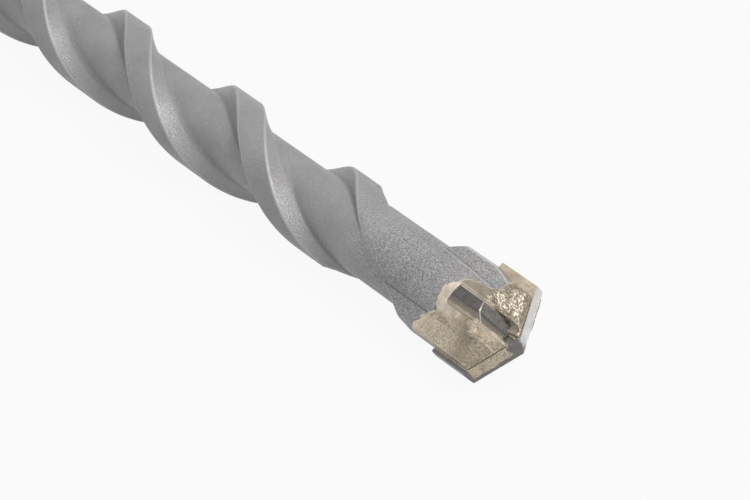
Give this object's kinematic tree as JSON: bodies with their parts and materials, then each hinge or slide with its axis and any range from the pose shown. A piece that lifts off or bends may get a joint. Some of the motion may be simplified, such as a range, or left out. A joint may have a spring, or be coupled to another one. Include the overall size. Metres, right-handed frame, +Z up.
{
  "type": "hammer drill bit",
  "caption": "Masonry drill bit with a slotted quick-change shank, a two-flute spiral body and a brazed carbide cross head.",
  "frame": {"origin": "centre of the shank's rear end face", "axes": "+X along the bit's axis from the shank to the point, +Z up as the bit lies on a table, +Y to the left of someone who looks along +X"},
  "size_m": [0.16, 0.01, 0.01],
  "materials": {
    "steel": "sandblasted tool steel, slightly rough",
    "carbide": "ground sintered carbide",
    "braze": "heat-stained brazing alloy, sandblasted"
  },
  "bodies": {
    "root": {"steel_body": "steel", "main_cutter": "carbide", "side_cutter_near": "carbide", "side_cutter_far": "carbide", "braze_main": "braze", "braze_near": "braze", "braze_far": "braze"}
  },
  "joints": []
}
